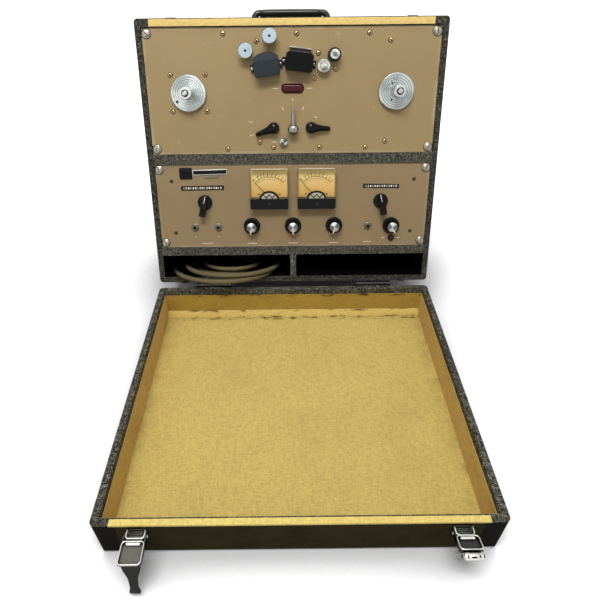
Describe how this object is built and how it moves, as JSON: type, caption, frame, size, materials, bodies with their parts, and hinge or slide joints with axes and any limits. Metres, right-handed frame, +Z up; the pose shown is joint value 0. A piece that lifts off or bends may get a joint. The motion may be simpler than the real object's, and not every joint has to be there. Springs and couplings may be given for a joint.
{
  "type": "reel-to-reel tape recorder",
  "caption": "Portable reel-to-reel tape recorder in an open two-part cloth-covered case: leaning upright deck with transport and amplifier panels, hinged lid lying flat as a tray.",
  "frame": {"origin": "centre of the lid's underside, on the floor", "axes": "+X to the right seen from the front, +Y away from the viewer towards the leaning case, +Z up"},
  "size_m": [0.502, 0.8545, 0.4986],
  "materials": {
    "tweed": "flecked dark cloth glued over plywood",
    "board": "dark stained board",
    "bare_wood": "plain softwood",
    "transport_paint": "satin tan hammer paint",
    "amp_paint": "satin tan hammer paint",
    "bright_steel": "bright plated steel",
    "dull_steel": "aged plated steel",
    "aged_brass": "aged lacquered brass",
    "turned_aluminium": "lathe-turned aluminium",
    "motor_metal": "die-cast alloy",
    "chrome": "polished chrome",
    "black_metal": "black crackle paint",
    "black_gloss": "glossy black phenolic",
    "black_matte": "matt black moulding",
    "foot_rubber": "matt rubber",
    "tyre_rubber": "smooth rubber tyre",
    "cord_rubber": "grey-tan rubber sheath",
    "red_lens": "deep red moulded lens",
    "clear": "clear cover",
    "valve_glass": "clear glass",
    "dial_card": "yellowed printed card",
    "lining": "mustard cloth",
    "needle": "dark painted needle"
  },
  "bodies": {
    "case": {"case_shell": "tweed", "panel_rails": "tweed", "storage_boards": "board", "panel_cleats": "bare_wood", "transport_panel": "transport_paint", "amp_panel": "amp_paint", "corner_screws": "bright_steel", "panel_screws": "aged_brass", "case_feet": "foot_rubber", "handle_brackets": "dull_steel", "hinge_case_leaves": "dull_steel", "latch_keepers": "bright_steel", "guide_posts": "dull_steel", "head_cover_left": "black_metal", "head_cover_right": "black_metal", "tape_heads": "bright_steel", "reel_motors": "motor_metal", "capstan_motor": "motor_metal", "indicator_lenses": "red_lens", "lamp_holders": "aged_brass", "meter_cases": "black_gloss", "meter_dials": "dial_card", "meter_windows": "clear", "jacks": "bright_steel", "amp_chassis": "turned_aluminium", "valves": "valve_glass", "transformers": "motor_metal", "control_bodies": "motor_metal", "cord_gland": "foot_rubber", "cord_coil": "cord_rubber", "cord_plug": "black_matte"},
    "lid": {"lid_shell": "tweed", "lid_lining": "lining", "hinge_lid_leaves": "dull_steel", "latch_bases": "bright_steel"},
    "link_left": {"latch_link_left": "bright_steel"},
    "link_right": {"latch_link_right": "bright_steel"},
    "finger_left": {"latch_finger_left": "dull_steel"},
    "finger_right": {"latch_finger_right": "dull_steel"},
    "handle": {"handle_grip": "black_matte"},
    "supply_reel": {"supply_table": "turned_aluminium"},
    "takeup_reel": {"takeup_table": "turned_aluminium"},
    "guide_lower": {"guide_roller_lower": "turned_aluminium"},
    "guide_upper": {"guide_roller_upper": "turned_aluminium"},
    "pinch": {"pinch_tyre": "tyre_rubber", "pinch_hub": "turned_aluminium"},
    "capstan_shaft": {"capstan": "turned_aluminium", "flywheel": "dull_steel"},
    "lever": {"transport_lever": "bright_steel"},
    "mode": {"mode_knob": "black_gloss"},
    "edit": {"edit_knob": "black_gloss"},
    "button": {"record_button": "chrome"},
    "input_selector": {"selector_left": "black_gloss"},
    "output_selector": {"selector_right": "black_gloss"},
    "level_left": {"level_knob_left": "black_gloss"},
    "level_middle": {"level_knob_middle": "black_gloss"},
    "level_right": {"level_knob_right": "black_gloss"},
    "monitor": {"monitor_knob": "black_gloss"},
    "needle_l": {"meter_needle_left": "needle"},
    "needle_r": {"meter_needle_right": "needle"}
  },
  "joints": [
    {"name": "lid_hinge", "type": "hinge", "parent": "case", "child": "lid", "pos_m": [0, 0.229, 0.07], "axis": [-1, 0, 0], "range_deg": [0, 108.29]},
    {"name": "link_left_hinge", "type": "hinge", "parent": "lid", "child": "link_left", "pos_m": [-0.195, -0.2295, 0.058], "axis": [-1, 0, 0], "range_deg": [0, 88]},
    {"name": "link_right_hinge", "type": "hinge", "parent": "lid", "child": "link_right", "pos_m": [0.195, -0.2295, 0.058], "axis": [-1, 0, 0], "range_deg": [-15, 73]},
    {"name": "finger_left_hinge", "type": "hinge", "parent": "link_left", "child": "finger_left", "pos_m": [-0.195, -0.2605, 0.058], "axis": [1, 0, 0], "range_deg": [-73, 57]},
    {"name": "finger_right_hinge", "type": "hinge", "parent": "link_right", "child": "finger_right", "pos_m": [0.195, -0.25944, 0.06602], "axis": [1, 0, 0], "range_deg": [-130, 0]},
    {"name": "handle_hinge", "type": "hinge", "parent": "case", "child": "handle", "pos_m": [0, 0.47898, 0.47132], "axis": [1, 0, 0], "range_deg": [-60, 60]},
    {"name": "supply_spin", "type": "hinge", "parent": "case", "child": "supply_reel", "pos_m": [-0.172, 0.33894, 0.39175], "axis": [0, -0.9495, 0.3138], "continuous": true},
    {"name": "takeup_spin", "type": "hinge", "parent": "case", "child": "takeup_reel", "pos_m": [0.172, 0.33894, 0.39175], "axis": [0, -0.9495, 0.3138], "continuous": true},
    {"name": "guide_lower_spin", "type": "hinge", "parent": "case", "child": "guide_lower", "pos_m": [-0.0747, 0.35858, 0.45119], "axis": [0, -0.9495, 0.3138], "continuous": true},
    {"name": "guide_upper_spin", "type": "hinge", "parent": "case", "child": "guide_upper", "pos_m": [-0.036, 0.36514, 0.47103], "axis": [0, -0.9495, 0.3138], "continuous": true},
    {"name": "pinch_spin", "type": "hinge", "parent": "case", "child": "pinch", "pos_m": [0.0683, 0.35661, 0.44521], "axis": [0, -0.9495, 0.3138], "continuous": true},
    {"name": "capstan_spin", "type": "hinge", "parent": "case", "child": "capstan_shaft", "pos_m": [0.0511, 0.35143, 0.42954], "axis": [0, -0.9495, 0.3138], "continuous": true},
    {"name": "lever_turn", "type": "hinge", "parent": "case", "child": "lever", "pos_m": [0.001, 0.32061, 0.33631], "axis": [0, 0.9495, -0.3138], "range_deg": [-27, 27]},
    {"name": "mode_turn", "type": "hinge", "parent": "case", "child": "mode", "pos_m": [-0.0317, 0.32123, 0.3382], "axis": [0, 0.9495, -0.3138], "range_deg": [0, 33]},
    {"name": "edit_turn", "type": "hinge", "parent": "case", "child": "edit", "pos_m": [0.0317, 0.32123, 0.3382], "axis": [0, -0.9495, 0.3138], "range_deg": [0, 66]},
    {"name": "button_press", "type": "slide", "parent": "case", "child": "button", "axis": [0, 0.9495, -0.3138], "range_m": [0, 0.003], "stiffness_N_per_m": 300},
    {"name": "input_turn", "type": "hinge", "parent": "case", "child": "input_selector", "pos_m": [-0.1572, 0.28157, 0.21819], "axis": [0, 0.9495, -0.3138], "range_deg": [-30, 30]},
    {"name": "output_turn", "type": "hinge", "parent": "case", "child": "output_selector", "pos_m": [0.1572, 0.28157, 0.21819], "axis": [0, 0.9495, -0.3138], "range_deg": [-30, 30]},
    {"name": "level_left_turn", "type": "hinge", "parent": "case", "child": "level_left", "pos_m": [-0.0745, 0.26785, 0.1767], "axis": [0, 0.9495, -0.3138], "range_deg": [0, 300]},
    {"name": "level_middle_turn", "type": "hinge", "parent": "case", "child": "level_middle", "pos_m": [0, 0.26785, 0.1767], "axis": [0, 0.9495, -0.3138], "range_deg": [0, 300]},
    {"name": "level_right_turn", "type": "hinge", "parent": "case", "child": "level_right", "pos_m": [0.0745, 0.26785, 0.1767], "axis": [0, 0.9495, -0.3138], "range_deg": [0, 300]},
    {"name": "monitor_turn", "type": "hinge", "parent": "case", "child": "monitor", "pos_m": [0.1782, 0.26738, 0.17527], "axis": [0, 0.9495, -0.3138], "range_deg": [0, 300]},
    {"name": "needle_left_swing", "type": "hinge", "parent": "case", "child": "needle_l", "pos_m": [-0.0416, 0.28495, 0.22845], "axis": [0, 0.9495, -0.3138], "range_deg": [0, 92]},
    {"name": "needle_right_swing", "type": "hinge", "parent": "case", "child": "needle_r", "pos_m": [0.0416, 0.28495, 0.22845], "axis": [0, 0.9495, -0.3138], "range_deg": [0, 92]}
  ]
}
